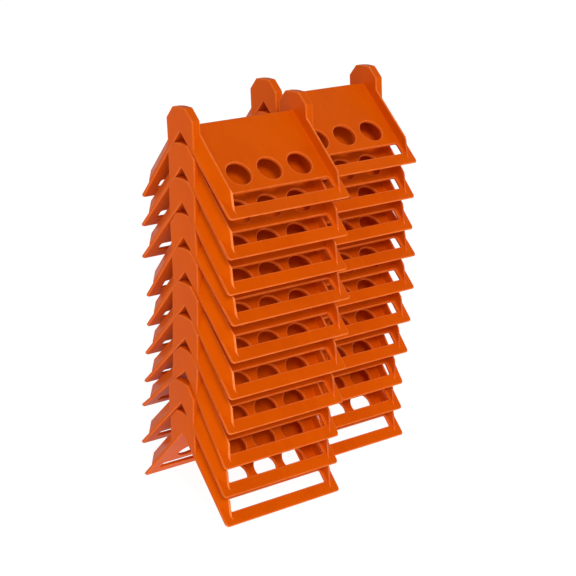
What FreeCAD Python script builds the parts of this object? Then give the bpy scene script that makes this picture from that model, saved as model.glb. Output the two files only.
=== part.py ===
"""Set of corner protectors for cargo tie-down straps, nested in two stacks.

Every protector is one injection-moulded piece: two wings at a right angle that sit over the
edge of a load, an ear at each end of the ridge, and a curb along both sides of each wing that
keeps a 4 inch strap in its channel. The ears of one protector carry the V of the next one.

Frame of the set: X along the ridges, Y across them, Z up, floor at Z = 0.
Frame of one protector: X along the ridge from its middle, origin on the inner ridge line.
"""
import FreeCAD, Part
import Sketcher
import math
import os

# ---------------------------------------------------------------- driving dimensions, mm
DIMENSIONS = [
    ("ridge_length", 130.0),      # length of a protector along its ridge
    ("apex_height", 68.0),        # inner ridge line above the feet
    ("wall", 3.2),                # thickness of the wings
    ("ridge_round", 1.6),         # outer radius of the ridge between the ears
    ("ear_thickness", 8.2),       # ears and curbs, measured along the ridge
    ("nest_height", 30.7),        # height plus half width of the ear's 45 degree seats
    ("ear_top_half", 10.1),       # half width of the ear's top
    ("ear_side_half", 20.4),      # half width of the ear
    ("ear_crown", 0.9),           # rise of the ear's top at its middle
    ("ear_crown_round", 60.0),    # radius that blends the crown
    ("ear_corner_round", 2.2),    # corners of the ear seen from its end
    ("curb_crest", 13.7),         # strap-side height of the curb above the wing's inner face
    ("curb_toe", 3.6),            # height of the curb's outer edge above the same face
    ("crest_width", 1.4),         # flat on top of the curb before its edges are rounded
    ("curb_end_foot", 67.0),      # strap-side end of the curb on the wing, from the ridge plane
    ("curb_end_top", 57.7),       # the same end carried up to the height of the inner ridge line
    ("curb_end_skew", 11.2),      # how much nearer the ridge plane the curb ends at its outer edge
    ("hole_radius", 11.8),
    ("hole_pitch", 32.8),         # between hole centres, along the ridge
    ("hole_drop", 54.0),          # hole centres down the wing from the inner ridge line
    ("slot_top", 73.0),           # top of the slot, down the wing
    ("slot_bottom", 85.4),        # bottom of the slot, down the wing
    ("slot_half_length", 54.0),
    ("slot_corner_round", 1.6),
    ("foot_corner_round", 2.6),
    ("end_round", 1.0),           # edges of the end faces and of the feet
    ("edge_round", 0.7),          # edges of the ears and curbs on the strap's side
    ("crest_round", 0.5),         # crest of the curbs
    ("rim_bevel", 0.6),           # bevel round the holes and slots, outside and inside
    ("root_round", 1.2),          # inside corner between wing and curb
    ("seat_gap", 0.2),            # gap left at each seat between nested protectors
    ("stack_step_x", 136.0),      # rear stack from front stack, along the ridge
    ("stack_step_y", 65.0),       # rear stack from front stack, across the ridge
]
DIM = dict(DIMENSIONS)

# How the protectors were set down, from the bottom of a stack to its top: lean about the
# ridge in degrees, and slide along the ridge in mm. The bottom one stands level.
LEAN_DEG = (0.0, 2.0, 6.5, 2.5, 0.5, -2.0, -4.0, 0.0, -0.5, -3.5)
SLIDE_MM = (0.0, -1.5, 1.0, 1.0, 1.5, 3.0, 3.5, 3.0, 3.5, 4.0)
STACKS = ("front", "rear")
SIDES = (("near", 1), ("far", -1))   # the wing towards -Y, and the one towards +Y
SLOPE_DEG = 45.0
SIZE_PROPERTY = {"Fillet": "Radius", "Chamfer": "Size"}
TOLERANCE = 1e-4

doc = FreeCAD.newDocument("strap_corner_protectors")


def make_sheet():
    sheet = doc.addObject("Spreadsheet::Sheet", "dims")
    for row, (name, number) in enumerate(DIMENSIONS, start=1):
        sheet.set(f"A{row}", name)
        sheet.set(f"B{row}", str(number))
        sheet.setAlias(f"B{row}", name)
    doc.recompute()
    return sheet


# ---------------------------------------------------------------- sketch helpers
def new_sketch(body, name, role, tilt_deg=0.0, shift_x=None):
    """A sketch on one of the body's origin planes, turned about the ridge by tilt_deg."""
    plane = next(p for p in body.Origin.OriginFeatures if p.Role == role)
    sketch = body.newObject("Sketcher::SketchObject", name)
    sketch.AttachmentSupport = [(plane, "")]
    sketch.MapMode = "FlatFace"
    turn = FreeCAD.Rotation(FreeCAD.Vector(1, 0, 0), tilt_deg)
    sketch.AttachmentOffset = FreeCAD.Placement(FreeCAD.Vector(0, 0, 0), turn)
    if shift_x:
        sketch.setExpression("AttachmentOffset.Base.z", shift_x)
    return sketch


def pin_point(sketch, geometry, point, across, up):
    """Hold one point of a sketch at two expressions of the dimension sheet."""
    for kind, expression in (("DistanceX", across), ("DistanceY", up)):
        index = sketch.addConstraint(Sketcher.Constraint(kind, -1, 1, geometry, point, 1.0))
        sketch.setExpression(f"Constraints[{index}]", expression)


def add_polygon(sketch, corners):
    """A closed outline whose corners are pairs of expressions."""
    count = len(corners)
    first = sketch.GeometryCount
    start = [FreeCAD.Vector(math.cos(2 * math.pi * i / count), math.sin(2 * math.pi * i / count), 0)
             for i in range(count)]
    for i in range(count):
        sketch.addGeometry(Part.LineSegment(start[i], start[(i + 1) % count]), False)
    for i in range(count):
        following = first + (i + 1) % count
        sketch.addConstraint(Sketcher.Constraint("Coincident", first + i, 2, following, 1))
    for i, (across, up) in enumerate(corners):
        pin_point(sketch, first + i, 1, across, up)


def add_circle(sketch, across, up, radius):
    circle = sketch.addGeometry(Part.Circle(FreeCAD.Vector(0, 0, 0), FreeCAD.Vector(0, 0, 1), 1.0), False)
    pin_point(sketch, circle, 3, across, up)
    index = sketch.addConstraint(Sketcher.Constraint("Radius", circle, 1.0))
    sketch.setExpression(f"Constraints[{index}]", radius)


def add_pad(body, sketch, name, length, midplane=False, backwards=False):
    pad = body.newObject("PartDesign::Pad", name)
    pad.Profile = sketch
    pad.Midplane = midplane
    pad.Reversed = backwards
    pad.setExpression("Length", length)
    sketch.Visibility = False
    return pad


def add_pocket(body, sketch, name, length):
    """A pocket that reaches half its length to each side of its sketch."""
    pocket = body.newObject("PartDesign::Pocket", name)
    pocket.Profile = sketch
    pocket.Midplane = True
    pocket.setExpression("Length", length)
    sketch.Visibility = False
    return pocket


def dress_edges(body, kind, name, size, wanted):
    """Round (Fillet) or bevel (Chamfer) the edges of the body so far that the test accepts."""
    doc.recompute()
    base = body.Tip
    names = [f"Edge{i}" for i, edge in enumerate(base.Shape.Edges, start=1) if wanted(edge)]
    if not names:
        raise RuntimeError(f"{body.Label}: {name} found no edge")
    dressing = body.newObject("PartDesign::" + kind, name)
    dressing.Base = (base, names)
    dressing.setExpression(SIZE_PROPERTY[kind], size)
    doc.recompute()


# ---------------------------------------------------------------- features of one protector
OUTER = "dims.wall * sqrt(2)"        # outer ridge line above the inner one, before rounding


def add_wings(body):
    """The V: two wings of even thickness with feet cut level."""
    sketch = new_sketch(body, "wing_section", "YZ_Plane")
    foot = "dims.apex_height"
    add_polygon(sketch, [
        ("0", "0"),
        (foot, f"-{foot}"),
        (f"{foot} + {OUTER}", f"-{foot}"),
        ("0", OUTER),
        (f"-{foot} - {OUTER}", f"-{foot}"),
        (f"-{foot}", f"-{foot}"),
    ])
    add_pad(body, sketch, "wings", "dims.ridge_length", midplane=True)


def add_ear(body, name, shift, backwards):
    """An upright block at one end of the ridge, open below to the V."""
    sketch = new_sketch(body, name + "_section", "YZ_Plane", shift_x=shift)
    top, side, seat = "dims.ear_top_half", "dims.ear_side_half", "dims.nest_height"
    add_polygon(sketch, [
        ("0", "0"),
        (side, f"-{side}"),
        (side, f"{seat} - {side}"),
        (top, f"{seat} - {top}"),
        ("0", f"{seat} - {top} + dims.ear_crown"),
        (f"-{top}", f"{seat} - {top}"),
        (f"-{side}", f"{seat} - {side}"),
        (f"-{side}", f"-{side}"),
    ])
    add_pad(body, sketch, name, "dims.ear_thickness", backwards=backwards)


def add_curbs(body, wing, sign):
    """The curbs at both ends of one wing, drawn square to the slope and padded down it."""
    sketch = new_sketch(body, wing + "_curb_section", "XZ_Plane", tilt_deg=sign * SLOPE_DEG)
    outer = "dims.ridge_length / 2"
    inner = f"{outer} - dims.ear_thickness"
    for end in ("", "-"):
        add_polygon(sketch, [
            (f"{end}({inner})", "0"),
            (f"{end}({outer})", "0"),
            (f"{end}({outer})", "dims.curb_toe"),
            (f"{end}({inner} + dims.crest_width)", "dims.curb_crest"),
            (f"{end}({inner})", "dims.curb_crest"),
        ])
    add_pad(body, sketch, wing + "_curbs", "dims.apex_height * sqrt(2)", backwards=sign < 0)


def end_curbs(body, wing, sign):
    """Cut both curbs of a wing off askew, down to the wing's outer face.

    The cut leans outwards on the strap's side and runs up the wing towards the outer edge.
    """
    foot, top, far = "dims.curb_end_foot", "dims.curb_end_top", "dims.apex_height * 1.5"
    side = "-" if sign > 0 else ""
    for name, end in (("left", -1), ("right", 1)):
        shift = f"{end} * (dims.ridge_length / 2 - dims.ear_thickness)"
        sketch = new_sketch(body, f"{wing}_{name}_curb_end_section", "YZ_Plane", shift_x=shift)
        add_polygon(sketch, [
            (f"{side}({foot})", f"{OUTER} - {foot}"),
            (f"{side}({far})", f"{OUTER} - {far}"),
            (f"{side}({far})", "0"),
            (f"{side}({top})", "0"),
        ])
        pocket = add_pocket(body, sketch, f"{wing}_{name}_curb_end", "2 * dims.ear_thickness + 4")
        pocket.UseCustomVector = True
        pocket.AlongSketchNormal = True
        skew = DIM["curb_end_skew"]
        pocket.Direction = FreeCAD.Vector(end * DIM["ear_thickness"], sign * skew, skew)


def cut_wing(body, wing, sign):
    """Three round holes and the long strap slot through one wing."""
    sketch = new_sketch(body, wing + "_openings", "XY_Plane", tilt_deg=sign * SLOPE_DEG)
    down = "-" if sign > 0 else ""
    for step in (-1, 0, 1):
        add_circle(sketch, f"{step} * dims.hole_pitch", f"{down}dims.hole_drop", "dims.hole_radius")
    half = "dims.slot_half_length"
    add_polygon(sketch, [
        (f"-{half}", f"{down}dims.slot_top"),
        (half, f"{down}dims.slot_top"),
        (half, f"{down}dims.slot_bottom"),
        (f"-{half}", f"{down}dims.slot_bottom"),
    ])
    add_pocket(body, sketch, wing + "_holes_and_slot", "4 * dims.wall")


# ---------------------------------------------------------------- tests that choose edges
def near_to(number, target):
    return abs(number - target) < TOLERANCE


def is_line_along(edge, axis):
    if edge.Curve.TypeId != "Part::GeomLine":
        return False
    run = edge.Vertexes[-1].Point - edge.Vertexes[0].Point
    return near_to(abs(run.dot(axis)), run.Length)


def wing_place(point):
    """Distance down the wing and height above its inner face, for a point on either wing."""
    down = (abs(point.y) - point.z) / math.sqrt(2)
    out = (abs(point.y) + point.z) / math.sqrt(2)
    return down, out


X_AXIS = FreeCAD.Vector(1, 0, 0)


def is_ridge(edge):
    middle = edge.CenterOfMass
    at_top = near_to(middle.y, 0) and near_to(middle.z, DIM["wall"] * math.sqrt(2))
    return is_line_along(edge, X_AXIS) and at_top


def is_crown(edge):
    middle = edge.CenterOfMass
    top = DIM["nest_height"] - DIM["ear_top_half"] + DIM["ear_crown"]
    return is_line_along(edge, X_AXIS) and near_to(middle.y, 0) and near_to(middle.z, top)


def is_ear_corner(edge):
    middle = edge.CenterOfMass
    on_seat = any(near_to(abs(middle.y), half) and near_to(middle.z, DIM["nest_height"] - half)
                  for half in (DIM["ear_top_half"], DIM["ear_side_half"]))
    return is_line_along(edge, X_AXIS) and on_seat


def is_foot_corner(edge):
    middle = edge.CenterOfMass
    at_end = near_to(abs(middle.x), DIM["ridge_length"] / 2)
    return at_end and near_to(middle.z, -DIM["apex_height"]) and not is_line_along(edge, X_AXIS)


def is_slot_corner(edge):
    down, out = wing_place(edge.CenterOfMass)
    at_row = any(near_to(down, DIM[name]) for name in ("slot_top", "slot_bottom"))
    at_end = near_to(abs(edge.CenterOfMass.x), DIM["slot_half_length"])
    return at_row and at_end and near_to(out, DIM["wall"] / 2)


def strap_face(edge):
    """True on the faces of the ears and curbs that look at the strap."""
    level = DIM["ridge_length"] / 2 - DIM["ear_thickness"]
    return lies_across(edge, level)


def lies_across(edge, level):
    middle = edge.valueAt((edge.FirstParameter + edge.LastParameter) / 2)
    points = [vertex.Point for vertex in edge.Vertexes] + [middle]
    return all(near_to(abs(point.x), level) for point in points)


def is_end_loop(edge):
    return lies_across(edge, DIM["ridge_length"] / 2)


def is_strap_side(edge):
    """The strap-side edges of the ears and crests, without the skew ends of the curbs."""
    down, out = wing_place(edge.CenterOfMass)
    above_wing = out > DIM["wall"] + 0.1 and down < DIM["slot_top"]
    over_ridge = near_to(edge.CenterOfMass.y, 0) and edge.CenterOfMass.z < DIM["ear_side_half"] / 2
    return strap_face(edge) and above_wing and not over_ridge


def is_crest_outer(edge):
    middle = edge.CenterOfMass
    at_crest = near_to(wing_place(middle)[1], DIM["curb_crest"])
    level = DIM["ridge_length"] / 2 - DIM["ear_thickness"] + DIM["crest_width"]
    return at_crest and near_to(abs(middle.x), level)


def is_curb_foot(edge):
    """The inside corners between the wings and the curbs."""
    return strap_face(edge) and near_to(wing_place(edge.CenterOfMass)[1], DIM["wall"]) and edge.Length > 50


def is_rim(edge, out):
    """The edges of the holes and slots on one face of a wing."""
    heights = [wing_place(vertex.Point)[1] for vertex in edge.Vertexes]
    down, middle_height = wing_place(edge.valueAt((edge.FirstParameter + edge.LastParameter) / 2))
    on_face = all(near_to(height, out) for height in heights + [middle_height])
    top_of_holes = DIM["hole_drop"] - DIM["hole_radius"]
    in_window = top_of_holes - 1 < down < DIM["slot_bottom"] + 1
    return on_face and in_window and abs(edge.CenterOfMass.x) < DIM["slot_half_length"] + 1


def is_outer_rim(edge):
    return is_rim(edge, DIM["wall"])


def is_inner_rim(edge):
    return is_rim(edge, 0.0)


# ---------------------------------------------------------------- one protector
DRESSINGS = (
    ("Fillet", "crown_blend", "ear_crown_round", is_crown),
    ("Fillet", "ear_corners", "ear_corner_round", is_ear_corner),
    ("Fillet", "ridge", "ridge_round", is_ridge),
    ("Fillet", "foot_corners", "foot_corner_round", is_foot_corner),
    ("Fillet", "slot_corners", "slot_corner_round", is_slot_corner),
    ("Fillet", "end_edges", "end_round", is_end_loop),
    ("Fillet", "strap_side_edges", "edge_round", is_strap_side),
    ("Chamfer", "outer_rims", "rim_bevel", is_outer_rim),
    ("Fillet", "crest_edges", "crest_round", is_crest_outer),
    ("Fillet", "curb_roots", "root_round", is_curb_foot),
    ("Chamfer", "inner_rims", "rim_bevel", is_inner_rim),
)


def make_protector(name):
    body = doc.addObject("PartDesign::Body", name)
    body.Label = name
    add_wings(body)
    add_ear(body, "left_ear", "-dims.ridge_length / 2", backwards=False)
    add_ear(body, "right_ear", "dims.ridge_length / 2", backwards=True)
    for wing, sign in SIDES:
        add_curbs(body, wing, sign)
        end_curbs(body, wing, sign)
    for wing, sign in SIDES:
        cut_wing(body, wing, sign)
    for kind, label, size, wanted in DRESSINGS:
        dress_edges(body, kind, label, "dims." + size, wanted)
    return body


# ---------------------------------------------------------------- how protectors nest
def turned(across, up, degrees):
    """A vector in the YZ plane after a turn about the ridge."""
    angle = math.radians(degrees)
    return (across * math.cos(angle) - up * math.sin(angle),
            across * math.sin(angle) + up * math.cos(angle))


def seat_step(lean):
    """Where the next ridge line comes to rest over a level protector when it leans.

    Each inner face of the upper V rests on the ear corner that reaches furthest into it.
    """
    halves = (DIM["ear_top_half"], DIM["ear_side_half"])
    corners = [(side * half, DIM["nest_height"] - half) for half in halves for side in (-1, 1)]
    across, up = 0.0, 0.0
    for side in (-1, 1):
        inward = turned(side * math.sqrt(0.5), -math.sqrt(0.5), lean)
        reach = min(inward[0] * y + inward[1] * z for y, z in corners) - DIM["seat_gap"]
        across += reach * inward[0]
        up += reach * inward[1]
    return across, up


def stack_places(offset_x, offset_y):
    """Placement of each protector of one stack, from the bottom up."""
    across, up = offset_y, DIM["apex_height"]
    places = []
    for level, (lean, slide) in enumerate(zip(LEAN_DEG, SLIDE_MM)):
        if level:
            below = LEAN_DEG[level - 1]
            step = turned(*seat_step(lean - below), below)
            across += step[0]
            up += step[1]
        base = FreeCAD.Vector(offset_x + slide, across, up)
        places.append(FreeCAD.Placement(base, FreeCAD.Rotation(X_AXIS, lean)))
    return places


def make_stacks():
    """Both stacks, with the middle of the set's outline over the origin."""
    bodies = []
    for row, stack in enumerate(STACKS):
        offset_x = (row - 0.5) * DIM["stack_step_x"]
        offset_y = (row - 0.5) * DIM["stack_step_y"]
        for level, place in enumerate(stack_places(offset_x, offset_y), start=1):
            body = make_protector(f"{stack}_protector_{level:02d}")
            body.Placement = place
            bodies.append(body)
    doc.recompute()
    box = FreeCAD.BoundBox()
    for body in bodies:
        box.add(body.Shape.BoundBox)
    centre = FreeCAD.Vector(box.Center.x, box.Center.y, 0)
    for body in bodies:
        body.Placement.Base = body.Placement.Base - centre
    doc.recompute()
    return bodies


def check_and_export(bodies):
    for item in doc.Objects:
        if "Invalid" in item.State or "Error" in item.State:
            raise RuntimeError(f"{item.Name} did not build: {item.State}")
    for body in bodies:
        shape = body.Shape
        if shape.isNull() or not shape.isValid() or len(shape.Solids) != 1:
            raise RuntimeError(f"{body.Label} is not one valid solid")
    os.makedirs("parts", exist_ok=True)
    for body in bodies:
        body.Shape.exportStep(f"parts/{body.Label}.step")
    box = FreeCAD.BoundBox()
    for body in bodies:
        box.add(body.Shape.BoundBox)
    print(f"{len(bodies)} protectors, {bodies[0].Shape.Volume / 1000:.1f} cm3 each,"
          f" set {box.XLength:.1f} x {box.YLength:.1f} x {box.ZLength:.1f} mm")


make_sheet()
check_and_export(make_stacks())
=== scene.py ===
"""Two nested stacks of moulded orange corner protectors on a white studio floor."""

import math

import bpy
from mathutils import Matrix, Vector


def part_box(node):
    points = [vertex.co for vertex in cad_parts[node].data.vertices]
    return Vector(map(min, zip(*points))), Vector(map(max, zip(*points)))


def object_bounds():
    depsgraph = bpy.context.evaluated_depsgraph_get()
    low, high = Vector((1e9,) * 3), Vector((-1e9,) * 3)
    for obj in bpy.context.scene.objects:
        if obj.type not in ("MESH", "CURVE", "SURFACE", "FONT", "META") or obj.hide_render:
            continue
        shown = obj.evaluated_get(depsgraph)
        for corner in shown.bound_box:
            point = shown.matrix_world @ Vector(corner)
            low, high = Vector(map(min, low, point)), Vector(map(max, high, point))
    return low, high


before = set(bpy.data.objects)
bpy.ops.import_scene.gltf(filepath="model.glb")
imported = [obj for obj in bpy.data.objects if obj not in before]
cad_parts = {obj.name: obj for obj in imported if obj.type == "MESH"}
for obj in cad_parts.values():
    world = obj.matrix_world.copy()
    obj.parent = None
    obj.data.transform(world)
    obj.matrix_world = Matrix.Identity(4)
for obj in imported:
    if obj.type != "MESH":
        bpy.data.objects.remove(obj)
cad_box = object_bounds()

MM = 0.001

# ---------------------------------------------------------------- the protector's own measures
WALL = 3.2 * MM                 # thickness of the wings
CURB_X = 56.8 * MM              # strap side of the ears and curbs, from the middle of the ridge
CREASE_DROP = 17.0 * MM         # faint moulding lines, down the wing from the inner ridge line
CREASE_STEP = 5.5 * MM
CREASE_WIDTH = 0.9 * MM

# ---------------------------------------------------------------- looks
ORANGE = (0.700, 0.094, 0.0004, 1)
ORANGE_LIGHT = (0.740, 0.108, 0.0006, 1)
ORANGE_DEEP = (0.650, 0.082, 0.0003, 1)
# painted highlight: the light orange laid on the edges, standing in for light caught by their
# roundings
EDGE_HIGHLIGHT_COLOUR = (1.000, 0.270, 0.070, 1)
ROUGHNESS_LOW = 0.36
ROUGHNESS_HIGH = 0.52
PLASTIC_IOR = 1.49
PLASTIC_SHINE = 0.08
SHINE_TINT = (1.0, 0.36, 0.04, 1)
EDGE_REACH = 1.5 * MM           # how far the inside is probed for edges that get the painted highlight
EDGE_OPEN = 0.66
EDGE_CLOSED = 0.94
# grain of the patterns, in waves per metre; three numbers are along X, Y and Z of the protector
CLOUD_GRAIN = 22.0
STREAK_GRAIN = (160.0, 14.0, 14.0)
SCRATCH_GRAIN = (30.0, 420.0, 420.0)
FINE_GRAIN = 2600.0
PEEL_GRAIN = 190.0
# grain of the patches in the painted edge highlight
EDGE_HIGHLIGHT_GRAIN = 75.0
CREASE_GRAIN = (28.0, 90.0, 90.0)
BUMP_STRENGTH = 0.5
BUMP_HEIGHT = 1.0 * MM
SMOOTH_BELOW = math.radians(32)
WELD = 0.002 * MM

# ---------------------------------------------------------------- studio
FLOOR_SIZE = 40.0               # wide enough to fill every view
FLOOR_GAP = 0.1 * MM
FLOOR_GREY = 0.12
FLOOR_GLOW = 0.95
SKY_AT_HORIZON = 0.66
SKY_OVERHEAD = 0.30
# name, direction towards the light, strength, and how many degrees of the sky it fills
SUNS = (("key", (-0.33, -0.75, 0.57), 1.5, 18),
        ("fill", (-0.86, -0.48, 0.10), 0.10, 50),
        ("rim", (0.75, 0.05, 0.66), 0.12, 25))

# ---------------------------------------------------------------- camera
CAMERA_PLACE = (-0.8333, -1.1233, 0.6312)
CAMERA_YAW = math.radians(-36.79)
CAMERA_PITCH = math.radians(19.46)
CAMERA_LENS = 95.49
CAMERA_SENSOR = 36.0
CAMERA_SHIFT = (0.0044, 0.0648)


class Graph:
    """Adds nodes to a node tree and joins them up."""

    def __init__(self, tree):
        self.tree = tree

    def node(self, kind, **settings):
        made = self.tree.nodes.new(kind)
        for name, value in settings.items():
            setattr(made, name, value)
        return made

    def feed(self, node, **inputs):
        """Each input is a number, a colour, a vector, or another node's output."""
        for name, value in inputs.items():
            socket = node.inputs[name.replace("_", " ")]
            if isinstance(value, bpy.types.NodeSocket):
                self.tree.links.new(value, socket)
            else:
                socket.default_value = value
        return node

    def math(self, operation, *values, clamp=False):
        made = self.node("ShaderNodeMath", operation=operation, use_clamp=clamp)
        for socket, value in zip(made.inputs, values):
            if isinstance(value, bpy.types.NodeSocket):
                self.tree.links.new(value, socket)
            else:
                socket.default_value = value
        return made.outputs[0]

    def noise(self, place, scale, detail=2.0, roughness=0.5):
        made = self.node("ShaderNodeTexNoise")
        self.feed(made, Vector=place, Scale=scale, Detail=detail, Roughness=roughness)
        return made.outputs["Fac"]

    def stretch(self, place, scale):
        made = self.node("ShaderNodeMapping")
        self.feed(made, Vector=place, Scale=scale)
        return made.outputs["Vector"]

    def ramp(self, value, low, high, to_low=0.0, to_high=1.0):
        """value between low and high becomes a smooth step between to_low and to_high."""
        made = self.node("ShaderNodeMapRange", interpolation_type="SMOOTHSTEP")
        self.tree.links.new(value, made.inputs["Value"])
        for name, number in (("From Min", low), ("From Max", high),
                             ("To Min", to_low), ("To Max", to_high)):
            made.inputs[name].default_value = number
        return made.outputs["Result"]

    def mix(self, share, first, second):
        made = self.node("ShaderNodeMix", data_type="RGBA")
        for index, value in ((0, share), (6, first), (7, second)):
            if isinstance(value, bpy.types.NodeSocket):
                self.tree.links.new(value, made.inputs[index])
            else:
                made.inputs[index].default_value = value
        return made.outputs[2]


# ---------------------------------------------------------------- where each protector lies
def ridge_frame(piece):
    """The middle of a protector's inner ridge line, and its lean about that line."""
    normals, offsets = [], []
    for side in (-1, 1):
        faces = [f for f in piece.data.polygons
                 if abs(f.normal.x) < 0.01 and f.normal.z > 0.5 and side * f.normal.y > 0.5]
        normal = max(faces, key=lambda f: f.area).normal.copy()
        level = [f for f in faces if f.normal.dot(normal) > 0.9999]
        normals.append(normal)
        offsets.append(min(normal.dot(f.center) for f in level) - WALL)
    (near, far), (near_offset, far_offset) = normals, offsets
    spread = near.y * far.z - near.z * far.y
    across = (near_offset * far.z - near.z * far_offset) / spread
    up = (near.y * far_offset - near_offset * far.y) / spread
    low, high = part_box(piece.name)
    upright = near + far
    return Vector(((low.x + high.x) / 2, across, up)), math.atan2(-upright.y, upright.z)


# ---------------------------------------------------------------- the plastic
def make_pattern():
    """What varies over the moulding, from a place in the protector's own directions."""
    tree = bpy.data.node_groups.new("moulded_plastic", "ShaderNodeTree")
    tree.interface.new_socket("Place", in_out="INPUT", socket_type="NodeSocketVector")
    tree.interface.new_socket("Drift", in_out="INPUT", socket_type="NodeSocketVector")
    tree.interface.new_socket("Colour", in_out="OUTPUT", socket_type="NodeSocketColor")
    tree.interface.new_socket("Roughness", in_out="OUTPUT", socket_type="NodeSocketFloat")
    tree.interface.new_socket("Normal", in_out="OUTPUT", socket_type="NodeSocketVector")
    g = Graph(tree)
    given = g.node("NodeGroupInput")
    place = given.outputs["Place"]
    moved = g.node("ShaderNodeVectorMath", operation="ADD")
    tree.links.new(place, moved.inputs[0])
    tree.links.new(given.outputs["Drift"], moved.inputs[1])
    moved = moved.outputs["Vector"]

    # distance down the wing from the inner ridge line, the same on both wings
    parts = g.node("ShaderNodeSeparateXYZ")
    tree.links.new(place, parts.inputs[0])
    across = g.math("ABSOLUTE", parts.outputs["Y"])
    down = g.math("MULTIPLY", g.math("SUBTRACT", across, parts.outputs["Z"]), math.sqrt(0.5))
    along = g.math("ABSOLUTE", parts.outputs["X"])

    # resin flow: broad clouds, and streaks that run down the wing from the ridge
    clouds = g.noise(moved, CLOUD_GRAIN, detail=3.0, roughness=0.6)
    streaks = g.noise(g.stretch(moved, STREAK_GRAIN), 1.0, detail=3.0)
    scratches = g.noise(g.stretch(moved, SCRATCH_GRAIN), 1.0, detail=2.0)
    grain = g.noise(moved, FINE_GRAIN, detail=1.0)
    peel = g.noise(moved, PEEL_GRAIN, detail=2.0)

    # painted highlight on the edges: a light orange is laid, in patches, where the inside of the
    # moulding is thin
    depth = g.node("ShaderNodeAmbientOcclusion", samples=8, inside=True, only_local=True)
    depth.inputs["Distance"].default_value = EDGE_REACH
    edge = g.ramp(depth.outputs["AO"], EDGE_OPEN, EDGE_CLOSED, 1.0, 0.0)
    patchy = g.ramp(g.noise(moved, EDGE_HIGHLIGHT_GRAIN, detail=3.0), 0.32, 0.68, 0.55, 1.0)
    painted_edge_highlight = g.math("MULTIPLY", edge, patchy)

    base = g.mix(g.ramp(clouds, 0.30, 0.70), ORANGE_DEEP, ORANGE)
    base = g.mix(g.ramp(streaks, 0.40, 0.80, 0.0, 0.35), base, ORANGE_LIGHT)
    # painted highlight: the edges are turned light orange
    base = g.mix(painted_edge_highlight, base, EDGE_HIGHLIGHT_COLOUR)

    rough = g.ramp(clouds, 0.25, 0.75, ROUGHNESS_LOW, ROUGHNESS_HIGH)
    rough = g.math("ADD", rough, g.ramp(scratches, 0.62, 0.74, 0.0, 0.10))
    rough = g.math("ADD", rough, g.math("MULTIPLY", grain, 0.05), clamp=True)

    # faint moulding lines across the panel between the curbs
    first = g.math("ABSOLUTE", g.math("SUBTRACT", down, CREASE_DROP))
    second = g.math("ABSOLUTE", g.math("SUBTRACT", down, CREASE_DROP + CREASE_STEP))
    line = g.ramp(g.math("MINIMUM", first, second), 0.0, CREASE_WIDTH, 1.0, 0.0)
    broken = g.ramp(g.noise(g.stretch(moved, CREASE_GRAIN), 1.0), 0.40, 0.62)
    panel = g.ramp(along, CURB_X - 8 * MM, CURB_X - 2 * MM, 1.0, 0.0)
    crease = g.math("MULTIPLY", g.math("MULTIPLY", line, broken), panel)

    height = g.math("MULTIPLY", peel, 0.05)
    height = g.math("ADD", height, g.math("MULTIPLY", grain, 0.02))
    height = g.math("SUBTRACT", height, g.math("MULTIPLY", crease, 0.10))
    bump = g.node("ShaderNodeBump")
    bump.inputs["Strength"].default_value = BUMP_STRENGTH
    bump.inputs["Distance"].default_value = BUMP_HEIGHT
    tree.links.new(height, bump.inputs["Height"])

    result = g.node("NodeGroupOutput")
    tree.links.new(base, result.inputs["Colour"])
    tree.links.new(rough, result.inputs["Roughness"])
    tree.links.new(bump.outputs["Normal"], result.inputs["Normal"])
    return tree


def make_plastic(piece, pattern, number):
    """The orange plastic of one protector, laid out along its own ridge."""
    middle, lean = ridge_frame(piece)
    material = bpy.data.materials.new("orange_plastic_" + piece.name)
    material.use_nodes = True
    tree = material.node_tree
    g = Graph(tree)
    shader = tree.nodes["Principled BSDF"]
    shader.inputs["IOR"].default_value = PLASTIC_IOR
    shader.inputs["Specular IOR Level"].default_value = PLASTIC_SHINE
    shader.inputs["Specular Tint"].default_value = SHINE_TINT
    coordinates = g.node("ShaderNodeTexCoord")
    turned = g.node("ShaderNodeMapping", vector_type="TEXTURE")
    tree.links.new(coordinates.outputs["Object"], turned.inputs["Vector"])
    turned.inputs["Location"].default_value = middle
    turned.inputs["Rotation"].default_value = (lean, 0, 0)
    varied = g.node("ShaderNodeGroup", node_tree=pattern)
    tree.links.new(turned.outputs["Vector"], varied.inputs["Place"])
    varied.inputs["Drift"].default_value = (0.37 * number, 0.61 * number, 0.23 * number)
    tree.links.new(varied.outputs["Colour"], shader.inputs["Base Color"])
    tree.links.new(varied.outputs["Roughness"], shader.inputs["Roughness"])
    tree.links.new(varied.outputs["Normal"], shader.inputs["Normal"])
    return material


def make_smoothing():
    """Joins the faces of a protector and shades its rounded edges smooth."""
    tree = bpy.data.node_groups.new("smooth_roundings", "GeometryNodeTree")
    tree.interface.new_socket("Geometry", in_out="INPUT", socket_type="NodeSocketGeometry")
    tree.interface.new_socket("Geometry", in_out="OUTPUT", socket_type="NodeSocketGeometry")
    g = Graph(tree)
    given = g.node("NodeGroupInput")
    weld = g.node("GeometryNodeMergeByDistance")
    weld.inputs["Distance"].default_value = WELD
    faces = g.node("GeometryNodeSetShadeSmooth", domain="FACE")
    faces.inputs["Shade Smooth"].default_value = True
    angle = g.node("GeometryNodeInputMeshEdgeAngle")
    sharp = g.node("FunctionNodeCompare", data_type="FLOAT", operation="GREATER_THAN")
    tree.links.new(angle.outputs["Unsigned Angle"], sharp.inputs["A"])
    sharp.inputs["B"].default_value = SMOOTH_BELOW
    edges = g.node("GeometryNodeSetShadeSmooth", domain="EDGE")
    edges.inputs["Shade Smooth"].default_value = False
    result = g.node("NodeGroupOutput")
    tree.links.new(given.outputs["Geometry"], weld.inputs["Geometry"])
    tree.links.new(weld.outputs["Geometry"], faces.inputs["Geometry"])
    tree.links.new(faces.outputs["Geometry"], edges.inputs["Geometry"])
    tree.links.new(sharp.outputs["Result"], edges.inputs["Selection"])
    tree.links.new(edges.outputs["Geometry"], result.inputs["Geometry"])
    return tree


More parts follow.
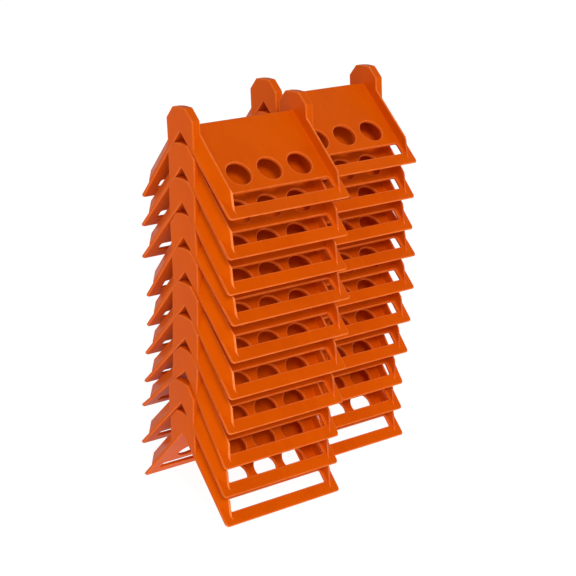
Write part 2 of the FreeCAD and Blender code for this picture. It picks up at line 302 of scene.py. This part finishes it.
def dress_protectors():
    pattern = make_pattern()
    smoothing = make_smoothing()
    for number, name in enumerate(sorted(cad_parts)):
        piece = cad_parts[name]
        plastic = make_plastic(piece, pattern, number)
        for slot in piece.material_slots:
            slot.material = plastic
        piece.modifiers.new("smooth_roundings", "NODES").node_group = smoothing


# ---------------------------------------------------------------- the studio around the set
def make_floor():
    bpy.ops.mesh.primitive_plane_add(size=FLOOR_SIZE, location=(0, 0, cad_box[0].z - FLOOR_GAP))
    floor = bpy.context.object
    floor.name = "studio_floor"
    material = bpy.data.materials.new("studio_floor")
    material.use_nodes = True
    shader = material.node_tree.nodes["Principled BSDF"]
    shader.inputs["Base Color"].default_value = (FLOOR_GREY, FLOOR_GREY, FLOOR_GREY, 1)
    shader.inputs["Roughness"].default_value = 0.9
    shader.inputs["Specular IOR Level"].default_value = 0.0
    shader.inputs["Emission Color"].default_value = (1, 1, 1, 1)
    shader.inputs["Emission Strength"].default_value = FLOOR_GLOW
    floor.data.materials.append(material)


def add_sun(name, toward, strength, spread_deg):
    """A soft light from far away. toward points from the object to the light."""
    light = bpy.data.lights.new(name, "SUN")
    light.energy = strength
    light.angle = math.radians(spread_deg)
    lamp = bpy.data.objects.new(name, light)
    lamp.rotation_euler = (-Vector(toward)).to_track_quat("-Z", "Y").to_euler()
    bpy.context.scene.collection.objects.link(lamp)


def light_studio():
    """Light from all round, strongest at the horizon, a key, a low fill and a high rim light."""
    world = bpy.data.worlds.new("studio")
    world.use_nodes = True
    g = Graph(world.node_tree)
    direction = g.node("ShaderNodeTexCoord")
    parts = g.node("ShaderNodeSeparateXYZ")
    world.node_tree.links.new(direction.outputs["Generated"], parts.inputs[0])
    glow = g.ramp(parts.outputs["Z"], 0.0, 0.9, SKY_AT_HORIZON, SKY_OVERHEAD)
    background = world.node_tree.nodes["Background"]
    background.inputs["Color"].default_value = (1, 1, 1, 1)
    world.node_tree.links.new(glow, background.inputs["Strength"])
    bpy.context.scene.world = world
    bpy.context.scene.view_settings.view_transform = "Standard"
    for name, toward, strength, spread in SUNS:
        add_sun(name, toward, strength, spread)


def add_camera():
    data = bpy.data.cameras.new("camera")
    data.lens = CAMERA_LENS
    data.sensor_width = CAMERA_SENSOR
    data.shift_x, data.shift_y = CAMERA_SHIFT
    camera = bpy.data.objects.new("camera", data)
    camera.location = CAMERA_PLACE
    camera.rotation_euler = (math.pi / 2 - CAMERA_PITCH, 0, CAMERA_YAW)
    bpy.context.scene.collection.objects.link(camera)
    bpy.context.scene.camera = camera


dress_protectors()
make_floor()
light_studio()
add_camera()
